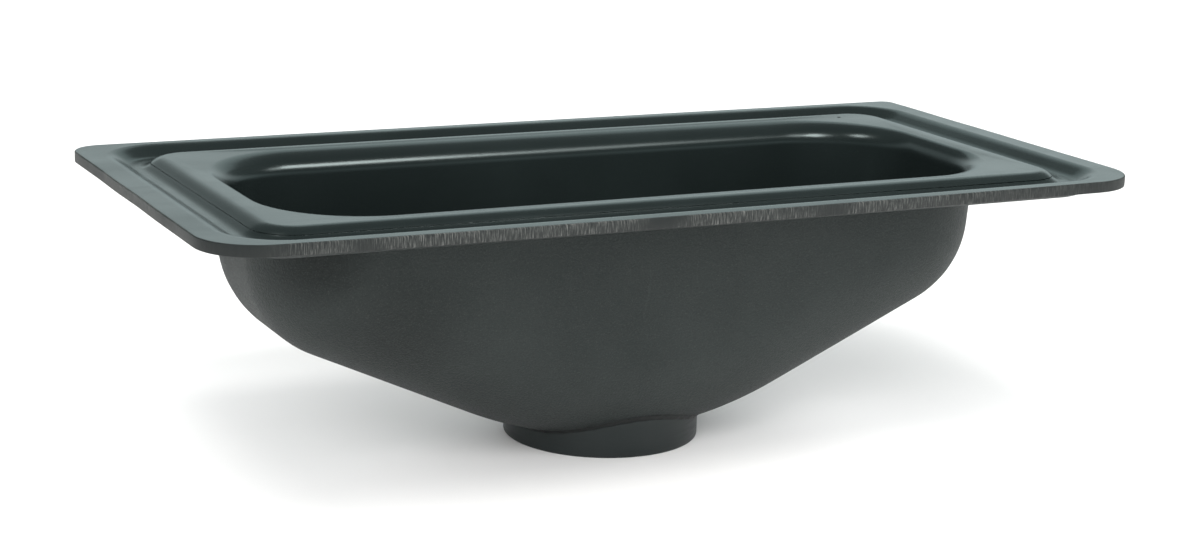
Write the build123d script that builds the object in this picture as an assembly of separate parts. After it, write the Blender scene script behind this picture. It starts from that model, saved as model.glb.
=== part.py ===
"""Thermoformed hopper trough with a grooved rim and a short round outlet collar.

Millimetres, +Z up. The origin is on the floor under the middle of the collar, which the trough stands on,
and the long side runs along X.
"""
from build123d import *
from math import cos, radians, sin, tan
import os

# Whole object
height = 126.3
sheet = 5.0
wall = 4.5

# Flange: the trimmed edge of the moulding
flange_length = 440.0
flange_width = 218.0
front_corner = 26.0
back_left_corner = 15.0
back_right_corner = 6.0

# Groove round the rim, between the outer strip and the ridge
groove_length = 415.0
groove_width = 203.0
groove_corner = 26.0
groove_depth = 4.5
groove_slope = 57.0

# Ridge round the mouth, level with the outer strip
ridge_length = 378.6
ridge_width = 166.6
ridge_corner = 15.0
ridge_slope = 48.0

# Mouth: where the ridge rolls over into the walls
mouth_length = 357.0
mouth_width = 151.0
mouth_corner = 50.0
roll_depth = 10.0
roll_sections = 5

# Tub: outside of the walls and floor
tub_half_length = 176.5
tub_half_width = 62.0
draft_depth = 50.0
end_draft = 1.5
side_draft = 4.5
floor_slope = 24.75
apex_depth = 139.9
apex_radius = 178.0
tub_radius = 48.5

# Radii on the rim: the underside's follow from these and the sheet's thickness
crease_radius = 8.0
ridge_radius = 10.0
foot_radius = 7.0
armpit_radius = 5.0

# Outlet collar, and the gap round it that the weld fills
collar_radius = 45.0
collar_wall = 5.0
collar_edge = 0.8
weld_gap = 1.0

# How closely an edge has to match the place it is looked for in
level_tolerance = 0.01
size_tolerance = 0.3
straight = 0.99


def at_depth(depth):
    """A level plane this far below the top of the rim."""
    return Plane.XY.offset(height - depth)


def tapered_block(length, width, corner, top, depth, taper):
    """A rounded rectangle extruded down from one depth to another; a positive taper narrows it."""
    outline = at_depth(top) * RectangleRounded(length, width, corner)
    return extrude(outline, amount=top - depth, dir=(0, 0, 1), taper=taper)


def end_x(depth, inset):
    """Half the tub's length at a depth."""
    return tub_half_length - inset + (draft_depth - depth) * tan(radians(end_draft))


def side_y(depth, inset):
    """Half the tub's width at a depth."""
    return tub_half_width - inset + (draft_depth - depth) * tan(radians(side_draft))


def tub(inset):
    """The tub as a solid: its outside with no inset, or its inside with the wall as the inset."""
    slope = tan(radians(floor_slope))
    draft = tan(radians(end_draft))
    apex = apex_depth - inset / cos(radians(floor_slope))
    floor_end = (apex - slope * end_x(0, inset)) / (1 - draft * slope)
    profile = Plane.XZ * make_face(
        Polyline(
            (-end_x(0, inset), height),
            (-end_x(floor_end, inset), height - floor_end),
            (0, height - apex),
            (end_x(floor_end, inset), height - floor_end),
            (end_x(0, inset), height),
            close=True,
        )
    )
    section = Plane.YZ * make_face(
        Polyline(
            (-side_y(0, inset), height),
            (-side_y(apex, inset), height - apex),
            (side_y(apex, inset), height - apex),
            (side_y(0, inset), height),
            close=True,
        )
    )
    solid = extrude(profile, amount=flange_width, both=True)
    solid &= extrude(section, amount=flange_length, both=True)
    keel = solid.edges().filter_by(Axis.Y).sort_by(Axis.Z)[0]
    solid = fillet(keel, apex_radius - inset)
    folds = [edge for edge in solid.edges() if is_tub_fold(edge, floor_end, inset)]
    return fillet(folds, tub_radius - inset)


def is_tub_fold(edge, floor_end, inset):
    """True for a fold of the tub: not its open top, nor the two lines where the keel's bend starts."""
    middle = edge.center()
    at_top = abs(middle.Z - height) < level_tolerance
    across = abs(edge.tangent_at(0.5).Y) > straight
    inboard = abs(middle.X) < end_x(floor_end, inset) - wall
    return not at_top and not (across and inboard)


def mouth_roll():
    """The space inside the rolled lip: a quarter of an ellipse, deeper than it is wide at the ends."""
    throat_length = 2 * end_x(roll_depth, wall)
    throat_width = 2 * side_y(roll_depth, wall)
    throat_corner = tub_radius - wall
    sections = []
    for step in range(roll_sections):
        turn = radians(90 * step / (roll_sections - 1))
        inward = sin(turn)
        outline = RectangleRounded(
            mouth_length + (throat_length - mouth_length) * inward,
            mouth_width + (throat_width - mouth_width) * inward,
            mouth_corner + (throat_corner - mouth_corner) * inward,
        )
        sections.append(at_depth(roll_depth * (1 - cos(turn))) * outline)
    return loft(sections)


def flange_outline():
    """The trimmed sheet: square cuts, with each corner rounded by hand."""
    corners = [
        (-1, -1, front_corner),
        (1, -1, front_corner),
        (-1, 1, back_left_corner),
        (1, 1, back_right_corner),
    ]
    outline = Rectangle(flange_length, flange_width)
    for along, across, radius in corners:
        corner = (along * flange_length / 2, across * flange_width / 2, 0)
        outline = fillet(outline.vertices().sort_by_distance(corner)[0], radius)
    return outline


def level_edges(solid, depth, length, width):
    """The edges of one level outline of the rim, straight runs and corners, found by its depth and size."""
    found = []
    for edge in solid.edges():
        box = edge.bounding_box()
        off_level = max(abs(box.min.Z - (height - depth)), abs(box.max.Z - (height - depth)))
        off_end = abs(max(abs(box.min.X), abs(box.max.X)) - length / 2)
        off_side = abs(max(abs(box.min.Y), abs(box.max.Y)) - width / 2)
        if off_level < level_tolerance and min(off_end, off_side) < size_tolerance:
            found.append(edge)
    return found


def rim_underside():
    """The flange plate and the groove's underside, which keeps the sheet's thickness."""
    underside = sheet + groove_depth
    groove_shift = 2 * sheet * tan(radians(90 - groove_slope) / 2)
    ridge_shift = 2 * sheet * tan(radians(90 - ridge_slope) / 2)
    groove_run = 2 * groove_depth * tan(radians(groove_slope))
    ridge_run = 2 * groove_depth * tan(radians(ridge_slope))
    pad_size = (groove_length + groove_shift, groove_width + groove_shift)
    hollow_size = (ridge_length - ridge_shift, ridge_width - ridge_shift)
    pad_corner = groove_corner + groove_shift / 2
    hollow_corner = ridge_corner - ridge_shift / 2

    plate = extrude(at_depth(sheet) * flange_outline(), amount=sheet)
    pad = tapered_block(*pad_size, pad_corner, sheet, underside, groove_slope)
    hollow = tapered_block(*hollow_size, hollow_corner, sheet, underside, -ridge_slope)
    rim = plate + (pad - hollow)
    rim = fillet(level_edges(rim, sheet, *pad_size), crease_radius - sheet)
    rim = fillet(level_edges(rim, sheet, *hollow_size), ridge_radius - sheet)
    folds = level_edges(rim, underside, pad_size[0] - groove_run, pad_size[1] - groove_run)
    folds += level_edges(rim, underside, hollow_size[0] + ridge_run, hollow_size[1] + ridge_run)
    return fillet(folds, foot_radius + sheet)


def hopper_shell():
    """The moulding: flange strip, groove, ridge, walls and floor, one sheet throughout."""
    groove_run = 2 * groove_depth * tan(radians(groove_slope))
    ridge_run = 2 * groove_depth * tan(radians(ridge_slope))
    shell = rim_underside() + tub(0)
    armpit = level_edges(shell, sheet, 2 * end_x(sheet, 0), 2 * side_y(sheet, 0))
    shell = fillet(armpit, armpit_radius)

    groove = tapered_block(groove_length, groove_width, groove_corner, 0, groove_depth, groove_slope)
    ridge = tapered_block(ridge_length, ridge_width, ridge_corner, 0, groove_depth, -ridge_slope)
    shell -= groove - ridge
    shell = fillet(level_edges(shell, 0, groove_length, groove_width), crease_radius)
    shell = fillet(level_edges(shell, 0, ridge_length, ridge_width), ridge_radius)
    foot = level_edges(shell, groove_depth, groove_length - groove_run, groove_width - groove_run)
    foot += level_edges(shell, groove_depth, ridge_length + ridge_run, ridge_width + ridge_run)
    shell = fillet(foot, foot_radius)

    shell -= mouth_roll()
    shell -= tub(wall)
    return shell - upright_cylinder(collar_radius + weld_gap)


def upright_cylinder(radius):
    """A cylinder on the origin that reaches well above the floor of the tub."""
    return Cylinder(radius, height / 2, align=(Align.CENTER, Align.CENTER, Align.MIN))


def outlet_collar():
    """A ring of pipe: it passes through the floor and is trimmed flush inside."""
    ring = upright_cylinder(collar_radius) - upright_cylinder(collar_radius - collar_wall) - tub(wall)
    return chamfer(ring.edges().sort_by(Axis.Z)[:2], collar_edge)


def collar_weld():
    """The weld that fills the gap between the collar and the hole in the floor, flush on both faces."""
    ring = upright_cylinder(collar_radius + weld_gap) - upright_cylinder(collar_radius)
    return (ring & tub(0)) - tub(wall)


def main():
    os.makedirs("parts", exist_ok=True)
    export_step(hopper_shell(), "parts/hopper_shell.step")
    export_step(outlet_collar(), "parts/outlet_collar.step")
    export_step(collar_weld(), "parts/collar_weld.step")


main()
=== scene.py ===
import math

import bpy
import numpy as np
from mathutils import Matrix, Vector


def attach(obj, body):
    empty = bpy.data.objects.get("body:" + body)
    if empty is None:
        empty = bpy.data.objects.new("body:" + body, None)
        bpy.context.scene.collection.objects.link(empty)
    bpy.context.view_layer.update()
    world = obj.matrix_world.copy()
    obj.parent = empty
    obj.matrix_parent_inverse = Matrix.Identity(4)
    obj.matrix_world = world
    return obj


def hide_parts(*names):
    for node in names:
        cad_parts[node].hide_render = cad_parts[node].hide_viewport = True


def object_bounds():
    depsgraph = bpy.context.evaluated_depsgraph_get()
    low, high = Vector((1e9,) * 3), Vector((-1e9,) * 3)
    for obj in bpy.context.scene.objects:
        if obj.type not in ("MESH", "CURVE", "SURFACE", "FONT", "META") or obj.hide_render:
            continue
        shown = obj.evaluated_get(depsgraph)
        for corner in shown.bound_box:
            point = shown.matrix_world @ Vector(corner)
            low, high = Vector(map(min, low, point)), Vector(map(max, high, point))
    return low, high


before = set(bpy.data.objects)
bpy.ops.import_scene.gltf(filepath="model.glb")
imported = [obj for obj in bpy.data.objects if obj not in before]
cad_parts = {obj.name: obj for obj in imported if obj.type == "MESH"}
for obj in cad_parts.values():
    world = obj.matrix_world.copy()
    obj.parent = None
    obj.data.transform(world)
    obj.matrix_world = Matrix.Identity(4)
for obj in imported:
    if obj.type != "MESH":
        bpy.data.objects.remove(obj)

CAD_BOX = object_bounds()
LOW, HIGH = (np.array(corner, float) for corner in CAD_BOX)
MM = 0.001

# ---------------------------------------------------------------- dimensions
# Loops are made in millimetres, and lathe_mesh turns them into metres. A height inside a section is
# measured from the top of the rim, and is negative below it.
TOP = HIGH[2] / MM
LENGTH = (HIGH[0] - LOW[0]) / MM
WIDTH = (HIGH[1] - LOW[1]) / MM
SHEET, WALL = 5.0, 4.5

# The flange: its corners, from the front left one round to the back left one, then how much its trimmed
# edge is rounded, and how far inside the edge a loop is held
FLANGE_CORNERS = (26.0, 26.0, 6.0, 15.0)
EDGE_ROUND, EDGE_HOLD = 0.5, 1.2

# Half length, half width and corner radius
GROOVE = (207.5, 101.5, 26.0)
RIDGE = (189.3, 83.3, 15.0)
MOUTH = (178.5, 75.5, 50.0)

# The sections of the groove, ridge and lip. Slopes are from upright, and CREASE, CREST and FOOT are radii
# on the top side. A lead is how far outside its edge a section starts. The ridge leans in towards the mouth.
GROOVE_DEPTH, GROOVE_SLOPE, RIDGE_SLOPE = 4.5, math.radians(57), math.radians(48)
CREASE, CREST, FOOT, ARMPIT = 8.0, 10.0, 7.0, 4.75
CREASE_LEAD, CREST_LEAD, PAD_LEAD, HOLLOW_LEAD = 3.4, 4.9, 1.7, 2.8
ROLL_DEPTH = 10.0
CROWN_FALL = math.tan(math.radians(2))

# The tub: three pairs of planes, rounded by a ball of TUB_RADIUS
HALF_X, HALF_Y, DRAFT_DEPTH = 176.5, 62.0, 50.0
END_DRAFT, SIDE_DRAFT, FLOOR_SLOPE = math.radians(1.5), math.radians(4.5), math.radians(24.75)
APEX_DEPTH, APEX_RADIUS, TUB_RADIUS = 139.9, 178.0, 48.5
INNER_RADIUS = TUB_RADIUS - WALL

# The collar, the hole round it that the weld closes, and the weld's ripple: size, count and start
COLLAR, COLLAR_WALL, COLLAR_EDGE, WELD_GAP = 45.0, 5.0, 0.9, 1.0
HOLE = COLLAR + WELD_GAP
RIPPLES = ((0.12, 37, 0.0), (0.08, 61, 1.0))

# Handwork: the front edge sags, and the trimmed edge wanders in waves: size, turn along X and Y, and start
SAG, SAG_START, SAG_HALF_LENGTH = 0.9, 84.0, 205.0
WANDER, TRIMMED_OFF, TRIM_SHARE = 0.11, 0.19, 0.025
WAVES = ((1.0, 0.061, 0.083, 0.0), (0.6, 0.157, -0.121, 1.3))
END_STRIP, SIDE_STRIP = 12.0, 8.0

# How finely each shape is divided
ARC_STEPS, LONG_STEPS, SHORT_STEPS = 16, 64, 26
EDGE_STEPS, CROWN_STEPS, ROLL_STEPS, ARMPIT_STEPS, TUB_STEPS = 4, 6, 14, 8, 58
COLLAR_POINTS, WELD_POINTS, FILLET_STEPS = 128, 256, 5
COLLAR_SIDE_SHARES = (0.1, 0.4, 0.7, 0.96, 1.0)
COLLAR_TOP_SHARES = (0.06, 0.3, 0.5, 0.7, 0.94)

# The levels inside the tub that its rows and its surface heights are cast from
ROWS_FROM, HEIGHTS_FROM = TOP - 30.0, TOP - 60.0

# The moulding's material slots
GLOSS, GRAIN, SAWN = range(3)

# ---------------------------------------------------------------- the tub's surface
END_N = np.array([math.cos(END_DRAFT), 0, -math.sin(END_DRAFT)])
SIDE_N = np.array([0, math.cos(SIDE_DRAFT), -math.sin(SIDE_DRAFT)])
DOWN = (0.0, 0.0, -1.0)


def core_distance(points):
    """How far points lie outside the tub's core, the shape that a ball of TUB_RADIUS rolls round."""
    x, y, z = np.abs(points[..., 0]), np.abs(points[..., 1]), points[..., 2] - TOP
    end = (x - HALF_X) * END_N[0] + (z + DRAFT_DEPTH) * END_N[2]
    side = (y - HALF_Y) * SIDE_N[1] + (z + DRAFT_DEPTH) * SIDE_N[2]
    slope_nx, slope_nz = math.sin(FLOOR_SLOPE), -math.cos(FLOOR_SLOPE)
    floor = x * slope_nx + (z + APEX_DEPTH) * slope_nz
    above = APEX_RADIUS / math.cos(FLOOR_SLOPE) - APEX_DEPTH - z
    turn = np.arctan2(x, above)
    bent = (turn < FLOOR_SLOPE) & (above > 0)
    floor = np.where(bent, np.hypot(x, above) - APEX_RADIUS, floor)
    turn = np.where(bent, turn, FLOOR_SLOPE)
    floor_nx, floor_nz = np.sin(turn), -np.cos(turn)

    gaps = np.stack([end, side, floor], -1) + TUB_RADIUS
    gram = np.zeros(gaps.shape + (3,))
    for i in range(3):
        gram[..., i, i] = 1.0
    pairs = {
        (0, 1): np.full_like(x, END_N[2] * SIDE_N[2]),
        (0, 2): END_N[0] * floor_nx + END_N[2] * floor_nz,
        (1, 2): SIDE_N[2] * floor_nz,
    }
    for (i, j), value in pairs.items():
        gram[..., i, j] = gram[..., j, i] = value
    deepest = gaps.max(-1)
    result = np.where(deepest <= 0, deepest, np.nan)
    for active in ([0], [1], [2], [0, 1], [0, 2], [1, 2], [0, 1, 2]):
        part = gram[..., active, :][..., :, active]
        weight = np.linalg.solve(part, gaps[..., active][..., None])[..., 0]
        reach = (gram[..., :, active] * weight[..., None, :]).sum(-1)
        valid = (weight >= -1e-9).all(-1) & (gaps - reach <= 1e-6).all(-1) & (deepest > 0)
        length = np.sqrt(np.maximum((gaps[..., active] * weight).sum(-1), 0))
        result = np.where(valid & np.isnan(result), length, result)
    return np.where(np.isnan(result), deepest, result)


def hit(start, direction, radius, far=420.0, nudge=0.01, least_slope=0.05, tries=14):
    """Where rays from inside the tub meet the surface this far from the core."""
    reach = np.full(direction.shape[:-1], far)
    for _ in range(tries):
        here = core_distance(start + direction * reach[..., None])
        ahead = core_distance(start + direction * (reach[..., None] + nudge))
        reach = reach - (here - radius) / np.maximum((ahead - here) / nudge, least_slope)
    return start + direction * reach[..., None]


def ring(radius, angles, z):
    flat = [radius * np.cos(angles), radius * np.sin(angles)]
    return np.column_stack([*flat, np.broadcast_to(z, angles.shape)])


def surface_height(radius, angles, core):
    """The height of the tub's surface over a circle round the drain, cast down from inside the tub."""
    circle = ring(radius, angles, HEIGHTS_FROM)
    return hit(circle, np.broadcast_to(DOWN, circle.shape), core, far=120.0)[:, 2]


# ---------------------------------------------------------------- outlines
def outline(half_x, half_y, radii, z):
    """A closed rounded rectangle at a height, counter-clockwise, and its outward directions."""
    radii = np.broadcast_to(np.asarray(radii, float), 4)
    corners = [(-1, -1, 180), (1, -1, 270), (1, 1, 0), (-1, 1, 90)]
    arcs = []
    for (sx, sy, first), radius in zip(corners, radii):
        angle = np.radians(first + np.linspace(0, 90, ARC_STEPS + 1))
        around = np.stack([np.cos(angle), np.sin(angle)], -1)
        centre = np.array([sx * (half_x - radius), sy * (half_y - radius)])
        arcs.append((centre + around * radius, around))
    points, normals = [], []
    for index in range(4):
        here, there = arcs[index], arcs[(index + 1) % 4]
        steps = LONG_STEPS if index in (0, 2) else SHORT_STEPS
        share = np.linspace(0, 1, steps + 1)[1:-1, None]
        points += [here[0], here[0][-1] * (1 - share) + there[0][0] * share]
        normals += [here[1], np.repeat(here[1][-1:], steps - 1, 0)]
    flat = np.concatenate(points)
    return np.column_stack([flat, np.full(len(flat), TOP + z)]), np.concatenate(normals)


def bent_line(points, radii, hold=0.45, step=math.radians(9)):
    """A line through points with its corners rounded, and a point held close to both ends of each bend."""
    points = np.array(points, float)
    line = [points[0]]
    for before, corner, after, radius in zip(points, points[1:], points[2:], radii):
        back = (before - corner) / np.linalg.norm(before - corner)
        ahead = (after - corner) / np.linalg.norm(after - corner)
        turn = math.pi - math.acos(np.clip(back @ ahead, -1, 1))
        tangent = radius * math.tan(turn / 2)
        start, end = corner + back * tangent, corner + ahead * tangent
        middle = (back + ahead) / np.linalg.norm(back + ahead)
        centre = corner + middle * radius / math.cos(turn / 2)
        line.append(corner + back * (tangent + hold))
        steps = max(3, round(turn / step))
        for share in np.linspace(0, 1, steps + 1):
            first, last = math.sin((1 - share) * turn), math.sin(share * turn)
            way = (start - centre) * first + (end - centre) * last
            line.append(centre + way / math.sin(turn))
        line.append(corner + ahead * (tangent + hold))
    line.append(points[-1])
    return line


def groove_side(shape, outward, lead, top, foot, radii):
    """Loops down one side of the groove, or of its underside, from the level edge to the level bottom."""
    half_x, half_y, corner = shape
    sign = 1 if outward else -1
    bottom = top - GROOVE_DEPTH
    line = bent_line([(-lead, top), (0, top), (foot, bottom), (2 * foot, bottom)], radii)[:-1]
    return [outline(half_x + sign * u, half_y + sign * u, corner + sign * u, z)[0] for u, z in line]


def between(first, last, count):
    return [first + (last - first) * share for share in np.linspace(0, 1, count + 2)[1:-1]]


def quarter(start, corner, end, steps, handle=0.5523):
    """Loops along a smooth quarter turn from one loop to another."""
    a, b = start + (corner - start) * handle, end + (corner - end) * handle
    return [
        start * (1 - t) ** 3 + 3 * a * t * (1 - t) ** 2 + 3 * b * t ** 2 * (1 - t) + end * t ** 3
        for t in np.linspace(0, 1, steps + 1)[1:]
    ]


# ---------------------------------------------------------------- the moulding
def snap(loop, normals, radius, tries=4):
    """Moves a level loop sideways onto the tub's surface."""
    loop = loop.copy()
    for _ in range(tries):
        loop[:, :2] -= normals * (core_distance(loop) - radius)[:, None]
    return loop


def wall_loop(inset, depth, radius):
    """A level loop on the tub's wall, and its outward directions."""
    half_x = HALF_X - inset + (DRAFT_DEPTH - depth) * math.tan(END_DRAFT)
    half_y = HALF_Y - inset + (DRAFT_DEPTH - depth) * math.tan(SIDE_DRAFT)
    loop, normals = outline(half_x, half_y, radius, -depth)
    return snap(loop, normals, radius), normals


def tub_rows(edge, radius, samples=121):
    """Rows from a loop on the tub's wall down to the drain hole, evenly spaced along the surface."""
    start = np.array([0, 0, ROWS_FROM])
    angles = np.unwrap(np.arctan2(edge[:, 1] / HALF_Y, edge[:, 0] / HALF_X))
    hole = ring(HOLE, angles, surface_height(HOLE, angles, radius))
    first = (edge - start) / np.linalg.norm(edge - start, axis=1)[:, None]
    last = (hole - start) / np.linalg.norm(hole - start, axis=1)[:, None]
    turn = np.arccos(np.clip((first * last).sum(1), -1, 1))[:, None]

    def rays(share):
        way = first * np.sin((1 - share) * turn) + last * np.sin(share * turn)
        return way / np.sin(turn)

    shares = np.linspace(0, 1, samples)
    paths = np.stack([hit(start, rays(np.full_like(turn, s)), radius) for s in shares], 1)
    runs = np.linalg.norm(np.diff(paths, axis=1), axis=2)
    length = np.concatenate([np.zeros((len(edge), 1)), np.cumsum(runs, axis=1)], 1)
    wanted = np.linspace(0, 1, TUB_STEPS + 1)
    share = np.stack([np.interp(wanted * total[-1], total, shares) for total in length])
    return [hit(start, rays(share[:, i:i + 1]), radius) for i in range(1, TUB_STEPS + 1)]


def trimmed(z, inset):
    """The flange's outline at a height, moved inwards."""
    half = (LENGTH / 2 - inset, WIDTH / 2 - inset)
    return outline(*half, np.array(FLANGE_CORNERS) - inset, z)[0]


def trimmed_corner(z, side):
    """Loops round a corner of the trimmed edge, from the cut to the face at height z; side 1 is the top."""
    loops = []
    for turn in np.radians(np.linspace(0, 90, EDGE_STEPS + 1)):
        back, inset = EDGE_ROUND * (1 - math.sin(turn)), EDGE_ROUND * (1 - math.cos(turn))
        loops.append(trimmed(z - side * back, inset))
    return loops + [trimmed(z, EDGE_HOLD)]


def crown_and_lip(crest):
    """Loops in over the ridge's gently falling crown and down the rolled lip, and the loop they end on."""
    mouth, normals = outline(*MOUTH, 0.0)
    throat, _ = wall_loop(WALL, ROLL_DEPTH, INNER_RADIUS)
    fall = CROWN_FALL * np.abs(normals) @ (np.array(RIDGE[:2]) - np.array(MOUTH[:2]))
    loops = []
    for share in np.linspace(0, 1, CROWN_STEPS + 1)[1:]:
        loop = crest + (mouth - crest) * share
        level_start = share * (1.5 * share - 0.5 * share ** 2)
        loop[:, 2] = TOP - fall * level_start
        loops.append(loop)
    for turn in np.radians(np.linspace(0, 90, ROLL_STEPS + 1))[1:]:
        loop = mouth + (throat - mouth) * math.sin(turn)
        loop[:, 2] = TOP - ((1 - math.cos(turn)) * (ROLL_DEPTH - fall) + fall)
        loops.append(loop)
    return loops, throat


def rim_underside(groove_foot, ridge_foot):
    """Loops from the tub's wall out under the rim to the trimmed edge; the first is on the wall."""
    armpit, normals = wall_loop(0.0, SHEET + ARMPIT, TUB_RADIUS)
    lean = snap(armpit + [0, 0, ARMPIT], normals, TUB_RADIUS)
    plate = lean + np.column_stack([normals * ARMPIT, np.zeros(len(normals))])
    hollow = np.array(RIDGE) - SHEET * math.tan((math.pi / 2 - RIDGE_SLOPE) / 2)
    pad = np.array(GROOVE) + SHEET * math.tan((math.pi / 2 - GROOVE_SLOPE) / 2)
    ridge_radii, groove_radii = (CREST - SHEET, FOOT + SHEET), (CREASE - SHEET, FOOT + SHEET)
    inner = groove_side(hollow, True, HOLLOW_LEAD, -SHEET, ridge_foot, ridge_radii)
    outer = groove_side(pad, False, PAD_LEAD, -SHEET, groove_foot, groove_radii)
    loops = [armpit] + quarter(armpit, lean, plate, ARMPIT_STEPS)
    return loops + between(plate, inner[0], 1) + inner + outer[::-1] + trimmed_corner(-SHEET, -1)[::-1]


def shell_loops():
    """Closed loops from the top of the trimmed edge in to the drain hole and back out underneath."""
    groove_foot = GROOVE_DEPTH * math.tan(GROOVE_SLOPE)
    ridge_foot = GROOVE_DEPTH * math.tan(RIDGE_SLOPE)
    edge = trimmed_corner(0.0, 1)
    crease = groove_side(GROOVE, False, CREASE_LEAD, 0.0, groove_foot, (CREASE, FOOT))
    crest = groove_side(RIDGE, True, CREST_LEAD, 0.0, ridge_foot, (CREST, FOOT))[::-1]
    lip, throat = crown_and_lip(crest[-1])
    top = edge + between(edge[-1], crease[0], 1) + crease + crest + lip + tub_rows(throat, INNER_RADIUS)

    below = rim_underside(groove_foot, ridge_foot)
    outside = tub_rows(below[0], TUB_RADIUS)[::-1]
    below = between(top[-1], outside[0], 2) + outside + below

    zones = [GLOSS] * (len(top) - 1) + [GRAIN] * (len(below) + 1)
    for band in (*range(EDGE_STEPS), *range(-1 - EDGE_STEPS, 0)):
        zones[band] = SAWN
    return np.array(top + below), zones


def settle(points):
    """The handmade side of the moulding: a slight sag along the front edge, and a trim that wanders."""
    x, y = points[..., 0].copy(), points[..., 1].copy()
    share = np.clip((-y - SAG_START) / (WIDTH / 2 - SAG_START), 0, 1)
    points[..., 2] -= SAG * share ** 1.5 * np.clip(1 - (x / SAG_HALF_LENGTH) ** 2, 0, 1)
    out = np.maximum(np.abs(x) / (LENGTH / 2), np.abs(y) / (WIDTH / 2))
    rim = np.clip((out - (1 - TRIM_SHARE)) / TRIM_SHARE, 0, 1)
    waves = sum(size * np.sin(x * along + y * across + start) for size, along, across, start in WAVES)
    shift = (WANDER * waves - TRIMMED_OFF) * rim
    points[..., 0] += np.sign(x) * shift * (np.abs(x) > LENGTH / 2 - END_STRIP)
    points[..., 1] += np.sign(y) * shift * (np.abs(y) > WIDTH / 2 - SIDE_STRIP)
    return points


def lathe_mesh(name, loops, zones, materials):
    """A smooth quad mesh through loops of equal length, closed both ways, with a material for each band."""
    loops = np.asarray(loops)
    rows, columns = loops.shape[:2]
    here = np.arange(rows * columns).reshape(rows, columns)
    onward = np.roll(here, -1, 0)
    faces = np.stack([here, np.roll(here, -1, 1), np.roll(onward, -1, 1), onward], -1).reshape(-1, 4)
    mesh = bpy.data.meshes.new(name)
    mesh.from_pydata((loops.reshape(-1, 3) * MM).tolist(), [], faces.tolist())
    mesh.polygons.foreach_set("use_smooth", [True] * len(faces))
    mesh.polygons.foreach_set("material_index", np.repeat(zones, columns))
    for material in materials:
        mesh.materials.append(material)
    mesh.update()
    return add(name, mesh)


def add(name, data):
    """An object in the scene for a mesh, light or camera."""
    made = bpy.data.objects.new(name, data)
    bpy.context.scene.collection.objects.link(made)
    return made


# ---------------------------------------------------------------- materials
BLACK = (0.001, 0.001, 0.001, 1)


class Recipe:
    """A node material in the making, with short calls for the nodes that all of them use.

    A noise's scale is in cells per metre, and a bump's distance is in metres.
    """

    def __init__(self, name, **settings):
        self.material = bpy.data.materials.new(name)
        self.material.use_nodes = True
        self.tree = self.material.node_tree
        self.shader = self.tree.nodes["Principled BSDF"]
        self.position = self.node("ShaderNodeTexCoord").outputs["Object"]
        for socket, value in settings.items():
            self.shader.inputs[socket.replace("_", " ")].default_value = value

    def node(self, kind, **properties):
        node = self.tree.nodes.new(kind)
        for key, value in properties.items():
            setattr(node, key, value)
        return node

    def put(self, socket, value):
        if isinstance(value, bpy.types.NodeSocket):
            self.tree.links.new(value, socket)
        else:
            socket.default_value = value

    def fill(self, node, values):
        for socket, value in values.items():
            self.put(node.inputs[socket], value)

    def noise(self, scale, detail=3.0, rough=0.55, stretch=(1, 1, 1), twist=0.0, place=None):
        """Noise over the object's own coordinates, or over a place that is already worked out."""
        if place is None:
            mapping = self.node("ShaderNodeMapping")
            self.fill(mapping, {"Vector": self.position, "Scale": stretch})
            place = mapping.outputs["Vector"]
        node = self.node("ShaderNodeTexNoise")
        self.fill(node, {"Vector": place, "Scale": scale, "Detail": detail, "Roughness": rough,
                         "Distortion": twist})
        return node.outputs["Fac"]

    def span(self, value, low, high, to_low=0.0, to_high=1.0):
        node = self.node("ShaderNodeMapRange", interpolation_type="SMOOTHSTEP")
        self.fill(node, {"Value": value, "From Min": low, "From Max": high,
                         "To Min": to_low, "To Max": to_high})
        return node.outputs["Result"]

    def math(self, operation, first, second):
        node = self.node("ShaderNodeMath", operation=operation)
        self.fill(node, {0: first, 1: second})
        return node.outputs[0]

    def times(self, first, second):
        return self.math("MULTIPLY", first, second)

    def mix(self, share, first, second):
        node = self.node("ShaderNodeMix", data_type="RGBA")
        self.put(node.inputs["Factor"], share)
        colours = [socket for socket in node.inputs if socket.type == "RGBA"]
        for socket, colour in zip(colours, (first, second)):
            self.put(socket, colour)
        return next(socket for socket in node.outputs if socket.type == "RGBA")

    def bump(self, height, distance, strength=1.0, under=None):
        node = self.node("ShaderNodeBump")
        self.fill(node, {"Height": height, "Distance": distance, "Strength": strength})
        if under is not None:
            self.put(node.inputs["Normal"], under)
        return node.outputs["Normal"]

    def near(self, place, inner, outer):
        """One inside a ball round a place in millimetres, fading to nothing outside."""
        node = self.node("ShaderNodeVectorMath", operation="DISTANCE")
        self.fill(node, {0: self.position, 1: [value * MM for value in place]})
        return self.span(node.outputs["Value"], inner * MM, outer * MM, 1.0, 0.0)

    def finish(self, colour, roughness, normal):
        self.fill(self.shader, {"Base Color": colour, "Roughness": roughness, "Normal": normal})
        return self.material


def gloss_sheet():
    """The top and inside of the moulding: smooth black sheet, with handling marks and one speck."""
    make = Recipe("gloss_sheet", IOR=1.5, Specular_Tint=(0.86, 1.0, 1.0, 1.0))
    cloud = make.span(make.noise(9.0, 4.0), 0.3, 0.7)
    smear = make.noise(30.0, 5.0, 0.6, stretch=(0.35, 1.0, 1.0), twist=0.6)
    speck = make.near((167.4, 72.7, TOP), 0.5, 1.3)
    colour = make.mix(cloud, (0.0070, 0.0098, 0.0096, 1), (0.0100, 0.0138, 0.0135, 1))
    rough = make.math("ADD", make.span(smear, 0.35, 0.75, 0.21, 0.26), speck)
    peel = make.bump(make.noise(420.0, 2.0), 0.000006, 0.6)
    wave = make.bump(make.noise(14.0, 2.0), 0.0002, 0.5, under=peel)
    return make.finish(make.mix(speck, colour, BLACK), rough, wave)


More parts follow.
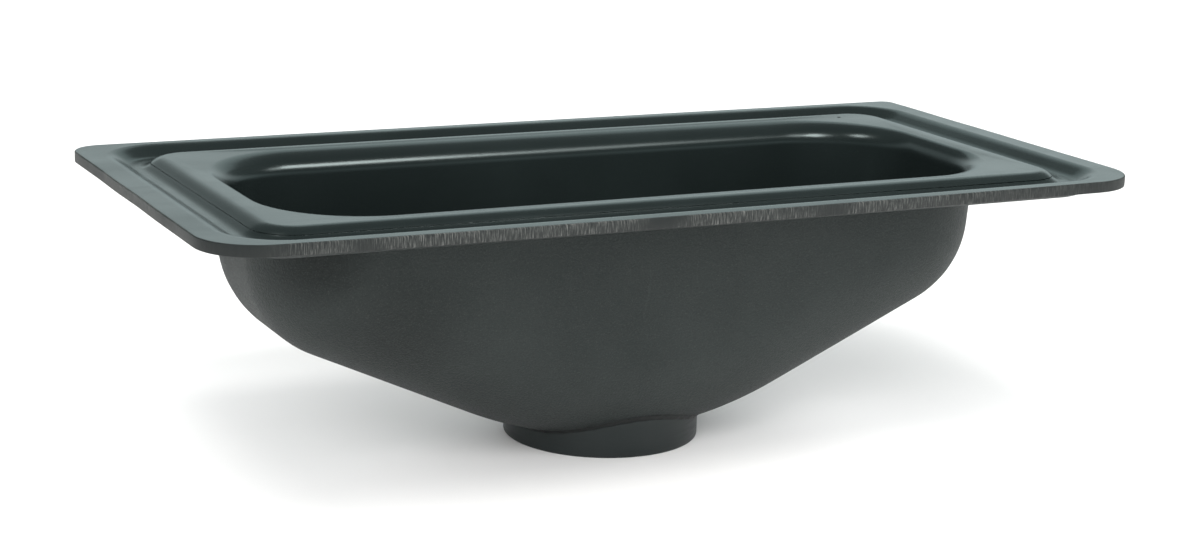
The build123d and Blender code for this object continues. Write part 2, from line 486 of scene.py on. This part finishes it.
def grained_sheet():
    """The outside of the moulding: fine matte grain, scuffs, one pit, and painted shade at the front left.
    """
    make = Recipe("grained_sheet", IOR=1.36, Specular_Tint=(0.88, 1.0, 0.99, 1.0))
    cloud = make.span(make.noise(11.0, 4.0), 0.3, 0.7)
    grain = make.noise(1100.0, 3.0, 0.6)
    # Painted shade: soft dark patches on the front wall, one under the left of the flange and one lower down
    # at the left.
    painted_shade_under_flange = make.times(make.near((-164, -HALF_Y, 108), 8.0, 36.0), 0.75)
    painted_shade_low = make.times(make.near((-126, -HALF_Y, 70), 6.0, 44.0), 0.5)
    speck = make.times(make.span(make.noise(1700.0, 2.0, 0.7), 0.52, 0.72), 0.55)
    pit = make.near((-165, -HALF_Y, 71), 0.8, 2.0)
    scuff = make.noise(60.0, 6.0, 0.7, stretch=(2.4, 2.4, 0.35), twist=1.2)
    scuff = make.times(make.span(scuff, 0.62, 0.8), 0.25)

    colour = make.mix(cloud, (0.0145, 0.0170, 0.0165, 1), (0.0215, 0.0246, 0.0238, 1))
    # The painted shade darkens the base colour there.
    colour = make.mix(make.math("MAXIMUM", painted_shade_under_flange, painted_shade_low), colour, (0.003, 0.003, 0.0028, 1))
    colour = make.mix(speck, colour, (0.042, 0.044, 0.042, 1))
    colour = make.mix(pit, colour, BLACK)
    colour = make.mix(scuff, colour, (0.05, 0.056, 0.055, 1))
    pebble = make.bump(grain, 0.0004)
    wave = make.bump(make.noise(20.0, 2.0), 0.0006, 0.4, under=pebble)
    return make.finish(colour, make.span(grain, 0.3, 0.75, 0.52, 0.68), wave)


def sawn_edge():
    """The trimmed edge: saw marks across the sheet, in patches, with none at the front left corner."""
    make = Recipe("sawn_edge", IOR=1.38)
    split, spot = make.node("ShaderNodeSeparateXYZ"), make.node("ShaderNodeCombineXYZ")
    make.put(split.inputs[0], make.position)
    around = make.math("ADD", split.outputs["X"], split.outputs["Y"])
    make.fill(spot, {"X": around, "Z": make.times(split.outputs["Z"], 0.06)})
    marks = make.noise(2300.0, 4.0, 0.7, place=spot.outputs[0])

    smooth = make.near((-LENGTH / 2, -WIDTH / 2, TOP), 16.0, 48.0)
    patches = make.times(make.span(make.noise(24.0, 3.0), 0.3, 0.52), make.math("SUBTRACT", 1.0, smooth))
    patches = make.times(patches, make.span(split.outputs["X"], 0.06, 0.20, 1.0, 0.35))
    streak = make.times(make.span(marks, 0.45, 0.72), patches)
    colour = make.mix(streak, (0.012, 0.0142, 0.0140, 1), (0.150, 0.153, 0.145, 1))
    return make.finish(colour, make.span(marks, 0.3, 0.7, 0.5, 0.66), make.bump(marks, 0.00012, 0.8))


def pipe_wall():
    """The collar: satin black pipe with faint marks round it."""
    make = Recipe("pipe_wall", IOR=1.42, Specular_Tint=(0.92, 1.0, 1.0, 1.0))
    cloud = make.span(make.noise(26.0, 4.0), 0.3, 0.7)
    turned = make.noise(90.0, 3.0, 0.6, stretch=(1, 1, 14))
    colour = make.mix(cloud, (0.007, 0.009, 0.009, 1), (0.011, 0.013, 0.013, 1))
    fine = make.bump(make.noise(1300.0, 2.0), 0.00004, 0.6)
    return make.finish(colour, make.span(turned, 0.3, 0.7, 0.36, 0.46),
                       make.bump(turned, 0.00007, 0.6, under=fine))


def weld_bead():
    """The weld: duller plastic with a soft ripple, its colour darkened partly as painted shade in the joint.
    """
    make = Recipe("weld_bead", IOR=1.36)
    ripple = make.noise(260.0, 3.0, 0.6)
    share = make.span(ripple, 0.3, 0.7)
    # Dark colour: partly the weld's own plastic, partly painted shade where the collar meets the tub.
    colour = make.mix(share, (0.005, 0.006, 0.006, 1), (0.010, 0.011, 0.011, 1))
    return make.finish(colour, make.span(ripple, 0.3, 0.7, 0.42, 0.58), make.bump(ripple, 0.0003, 0.6))


def floor_sheet():
    """A plain pale floor, with the faintest unevenness."""
    make = Recipe("studio_floor")
    tone = make.span(make.noise(3.0, 2.0), 0.3, 0.7)
    colour = make.mix(tone, (0.885, 0.870, 0.865, 1), (0.90, 0.885, 0.88, 1))
    return make.finish(colour, 0.6, make.bump(make.noise(200.0, 2.0), 0.0001, 0.2))


# ---------------------------------------------------------------- pieces
def install(piece, node):
    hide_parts(node)
    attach(piece, "root")


def build_shell():
    loops, zones = shell_loops()
    materials = [gloss_sheet(), grained_sheet(), sawn_edge()]
    piece = lathe_mesh("hopper_moulding", settle(loops), zones, materials)
    install(piece, "hopper_shell")


def collar_side(radius, inward, angles, top_edge=0.3):
    """Loops up the outside or inside of the collar, from its rounded foot to just below its top."""
    loops = []
    for turn in np.radians([90, 60, 30, 0]):
        inset = inward * COLLAR_EDGE * (1 - math.cos(turn))
        loops.append(ring(radius + inset, angles, COLLAR_EDGE * (1 - math.sin(turn))))
    rise = surface_height(radius, angles, INNER_RADIUS) - top_edge - COLLAR_EDGE
    return loops + [ring(radius, angles, COLLAR_EDGE + rise * share) for share in COLLAR_SIDE_SHARES]


def build_collar():
    angles = np.linspace(0, 2 * math.pi, COLLAR_POINTS, endpoint=False)
    loops = collar_side(COLLAR, -1, angles)
    for share in COLLAR_TOP_SHARES:
        radius = COLLAR - COLLAR_WALL * share
        loops.append(ring(radius, angles, surface_height(radius, angles, INNER_RADIUS)))
    loops += collar_side(COLLAR - COLLAR_WALL, 1, angles)[::-1]
    piece = lathe_mesh("drain_collar", loops, [0] * len(loops), [pipe_wall()])
    install(piece, "outlet_collar")


def build_weld():
    """A hollow fillet with a rippled toe under the tub, and a low bead inside it."""
    leg_out, leg_down, hollow_out, hollow_down = 0.7, 1.1, 0.45, 0.35
    toe_lift, root_lift, seat, inside_lift = 0.1, 0.4, 0.02, 2.0
    tuck, shoulder, bead_height, bead_edge, bead_ripple = 0.35, 0.2, 0.14, 0.02, 0.2
    angles = np.linspace(0, 2 * math.pi, WELD_POINTS, endpoint=False)
    ripple = sum(size * np.sin(angles * count + start) for size, count, start in RIPPLES)

    foot = surface_height(COLLAR, angles, TUB_RADIUS)
    radii = (HOLE + leg_out + ripple, COLLAR + hollow_out, COLLAR - seat)
    toe = surface_height(radii[0], angles, TUB_RADIUS) + toe_lift
    heights = (toe, foot - hollow_down, foot - leg_down + ripple)
    loops = [ring(HOLE, angles, surface_height(HOLE, angles, TUB_RADIUS) + root_lift)]
    for t in np.linspace(0, 1, FILLET_STEPS + 1):
        weights = ((1 - t) ** 2, 2 * t * (1 - t), t * t)
        radius, height = (sum(w * v for w, v in zip(weights, line)) for line in (radii, heights))
        loops.append(ring(radius, angles, height))
    loops.append(ring(COLLAR - tuck, angles, foot + inside_lift))
    bead = ((COLLAR - tuck, bead_edge), (COLLAR + shoulder, bead_height),
            (HOLE - shoulder, bead_height), (HOLE + tuck, bead_edge))
    for radius, lift in bead:
        height = surface_height(radius, angles, INNER_RADIUS) + lift + bead_ripple * ripple
        loops.append(ring(radius, angles, height))
    piece = lathe_mesh("collar_seam", loops, [0] * len(loops), [weld_bead()])
    install(piece, "collar_weld")


# ---------------------------------------------------------------- studio, in metres
FLOOR_REACH = 40.0

# The sky's colour at each height, from the horizon up, and how its strength grows towards SKY_SIDE
SKY_STOPS = (
    (0.05, (0.52, 0.63, 0.64, 1)),
    (0.21, (0.90, 1.05, 1.05, 1)),
    (0.26, (0.90, 1.05, 1.05, 1)),
    (0.36, (0.17, 0.21, 0.21, 1)),
    (0.80, (0.17, 0.20, 0.20, 1)),
)
SKY_SIDE = (0.8, 0.45, 0.0)
SIDE_RANGE, SIDE_STRENGTH = (-0.8, 1.0), (0.35, 1.08)

# Name, place, size, power in watts and colour; all aim at the middle of the trough
AREA_LIGHTS = (
    ("key", (0.13, -0.33, 0.72), (0.23, 0.20), 2.2, (1.0, 1.0, 0.98)),
    ("key_spill", (0.36, -0.33, 0.70), (0.22, 0.18), 0.55, (1.0, 1.0, 0.98)),
    ("left_light", (-0.92, -0.07, 1.80), (0.46, 0.46), 8.0, (1.0, 1.0, 0.97)),
    ("back_light", (0.95, 1.60, 1.10), (1.2, 0.6), 1.3, (0.8, 1.0, 1.0)),
)
LIGHT_AIM = (0, 0, 0.08)

# Name, turn from +Y and height in degrees, strength, and spread in radians
SOFT_SKIES = (
    ("front_sky", 200, 33, 3.6, 1.0),
    ("right_sky", 78, 31, 1.6, 0.7),
    ("back_sky", 0, 22, 1.2, 0.9),
    ("left_sky", 275, 36, 1.1, 0.7),
)


def point_at(thing, direction):
    thing.rotation_euler = Vector(direction).to_track_quat("-Z", "Y").to_euler()


def add_lights():
    """Lamps that show in the gloss, and soft daylight that lights the floor but shows in no reflection."""
    for name, place, size, power, colour in AREA_LIGHTS:
        data = bpy.data.lights.new(name, "AREA")
        data.shape, data.size, data.size_y = "RECTANGLE", size[0], size[1]
        data.energy, data.color = power, colour
        light = add(name, data)
        light.location = place
        point_at(light, Vector(LIGHT_AIM) - Vector(place))

    for name, turn, rise, power, spread in SOFT_SKIES:
        turn, rise = math.radians(turn), math.radians(rise)
        data = bpy.data.lights.new(name, "SUN")
        data.energy, data.angle = power, spread
        sky = add(name, data)
        flat = -math.cos(rise)
        point_at(sky, (math.sin(turn) * flat, math.cos(turn) * flat, -math.sin(rise)))
        sky.visible_glossy = False


def add_floor():
    mesh = bpy.data.meshes.new("studio_floor")
    level = float(LOW[2])
    corners = [(x * FLOOR_REACH, y * FLOOR_REACH, level) for x, y in ((-1, -1), (1, -1), (1, 1), (-1, 1))]
    mesh.from_pydata(corners, [], [(0, 1, 2, 3)])
    mesh.materials.append(floor_sheet())
    floor = add("studio_floor", mesh)


def add_world():
    """A pale band of sky above the horizon, darker overhead and brighter on one side."""
    world = bpy.data.worlds.new("studio")
    bpy.context.scene.world = world
    world.use_nodes = True
    nodes, links = world.node_tree.nodes, world.node_tree.links
    background = nodes["Background"]
    direction = nodes.new("ShaderNodeTexCoord").outputs["Generated"]
    split, ramp = nodes.new("ShaderNodeSeparateXYZ"), nodes.new("ShaderNodeValToRGB")
    links.new(direction, split.inputs[0])
    links.new(split.outputs["Z"], ramp.inputs[0])
    links.new(ramp.outputs[0], background.inputs["Color"])
    ramp.color_ramp.interpolation = "EASE"
    stops = ramp.color_ramp.elements
    for place, colour in SKY_STOPS:
        stops.new(place).color = colour
    stops.remove(stops[0])
    stops.remove(stops[-1])

    side, level = nodes.new("ShaderNodeVectorMath"), nodes.new("ShaderNodeMapRange")
    side.operation = "DOT_PRODUCT"
    side.inputs[1].default_value = SKY_SIDE
    for socket, value in zip(("From Min", "From Max", "To Min", "To Max"), SIDE_RANGE + SIDE_STRENGTH):
        level.inputs[socket].default_value = value
    links.new(direction, side.inputs[0])
    links.new(side.outputs["Value"], level.inputs["Value"])
    links.new(level.outputs["Result"], background.inputs["Strength"])


def add_camera():
    """At the photograph's angle, aimed a little below and left of the flange's middle."""
    yaw, pitch, roll = 0.46000146, 0.239082122, -0.0296410768
    aim_left, aim_below, distance = 0.0161, 0.1215, 2.5277
    length = float(HIGH[0] - LOW[0])
    flat = math.cos(pitch)
    forward = Vector((math.sin(yaw) * flat, math.cos(yaw) * flat, -math.sin(pitch)))
    right = Vector((math.cos(yaw), -math.sin(yaw), 0))
    down = forward.cross(right)
    x_axis = right * math.cos(roll) + down * math.sin(roll)
    y_axis = right * math.sin(roll) - down * math.cos(roll)
    target = Vector((-aim_left * length, 0, float(HIGH[2]) - aim_below * length))
    data = bpy.data.cameras.new("camera")
    data.sensor_width, data.lens = 36.0, 74.1
    data.clip_start, data.clip_end = 0.01, 100.0
    camera = add("camera", data)
    rotation = Matrix((x_axis, y_axis, -forward)).transposed().to_4x4()
    camera.matrix_world = Matrix.Translation(target - forward * distance * length) @ rotation
    bpy.context.scene.camera = camera


build_shell()
build_collar()
build_weld()
add_floor()
add_world()
add_lights()
add_camera()
bpy.context.scene.view_settings.view_transform = "Standard"
